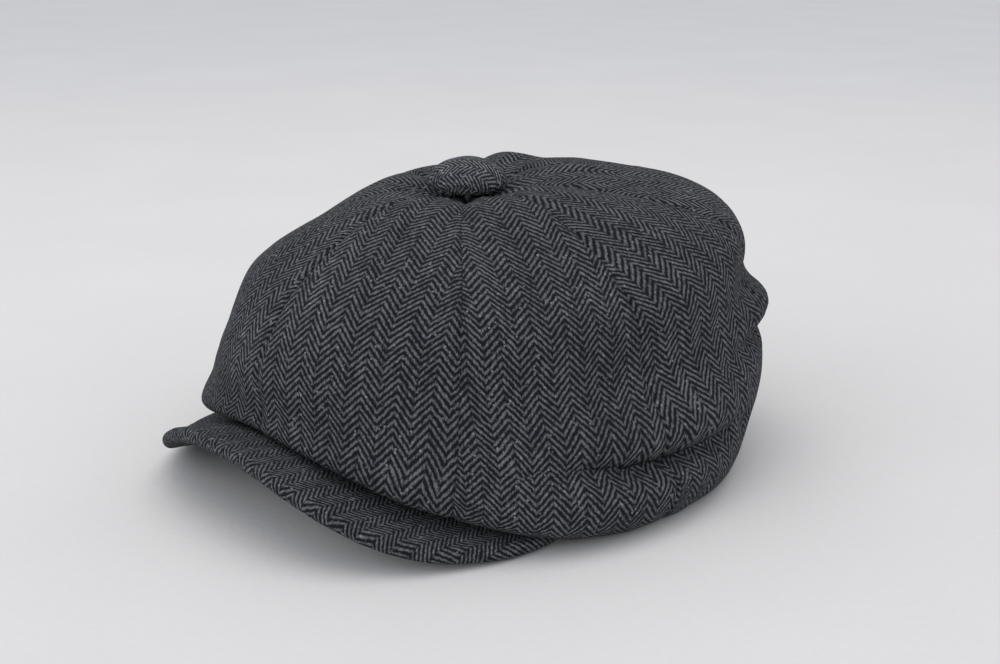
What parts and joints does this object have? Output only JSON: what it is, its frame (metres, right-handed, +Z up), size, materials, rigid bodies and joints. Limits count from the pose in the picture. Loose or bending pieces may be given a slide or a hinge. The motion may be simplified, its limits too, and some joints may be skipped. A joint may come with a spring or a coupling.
{
  "type": "newsboy cap",
  "caption": "Soft panelled newsboy cap in grey herringbone tweed with a stiff cloth-covered peak, a covered top button, satin lining and an inner sweatband.",
  "frame": {"origin": "middle of the cap's bounding box at table level, on the axis of the button", "axes": "+Z up through the button, -Y towards the front edge of the peak, +X towards the wearer's left"},
  "size_m": [0.2718, 0.2977, 0.1432],
  "materials": {
    "tweed": "brushed wool herringbone",
    "lining_satin": "satin",
    "sweatband_cotton": "fine twill",
    "cotton_tape": "matt ribbed",
    "label_satin": "satin",
    "board_plastic": "moulded matt",
    "button_metal": "pressed",
    "retainer_steel": "plated"
  },
  "bodies": {
    "crown": {"crown_panel_front_left": "tweed", "crown_panel_left_front": "tweed", "crown_panel_left_rear": "tweed", "crown_panel_rear_left": "tweed", "crown_panel_rear_right": "tweed", "crown_panel_right_rear": "tweed", "crown_panel_right_front": "tweed", "crown_panel_front_right": "tweed", "lining_panel_front_left": "lining_satin", "lining_panel_left_front": "lining_satin", "lining_panel_left_rear": "lining_satin", "lining_panel_rear_left": "lining_satin", "lining_panel_rear_right": "lining_satin", "lining_panel_right_rear": "lining_satin", "lining_panel_right_front": "lining_satin", "lining_panel_front_right": "lining_satin", "stay_tape": "cotton_tape", "sweatband": "sweatband_cotton", "sweatband_rear_tape": "cotton_tape", "size_tab": "label_satin", "blank_label": "label_satin", "tip_patch": "cotton_tape"},
    "visor": {"visor_board": "board_plastic", "visor_top_cover": "tweed", "visor_bottom_cover": "tweed"},
    "button": {"button_cover": "tweed", "button_shell": "button_metal", "button_back_plate": "button_metal", "button_shank": "button_metal", "button_retainer": "retainer_steel"}
  },
  "joints": [
    {"name": "visor_flex", "type": "hinge", "parent": "crown", "child": "visor", "pos_m": [0, -0.038, 0.004], "axis": [1, 0, 0], "range_deg": [0, 10], "stiffness_Nm_per_rad": 1.2, "springref_deg": -1.72},
    {"name": "button_turn", "type": "hinge", "parent": "crown", "child": "button", "pos_m": [0, 0, 0.1308], "axis": [0, 0, 1], "range_deg": [-20, 20]}
  ]
}
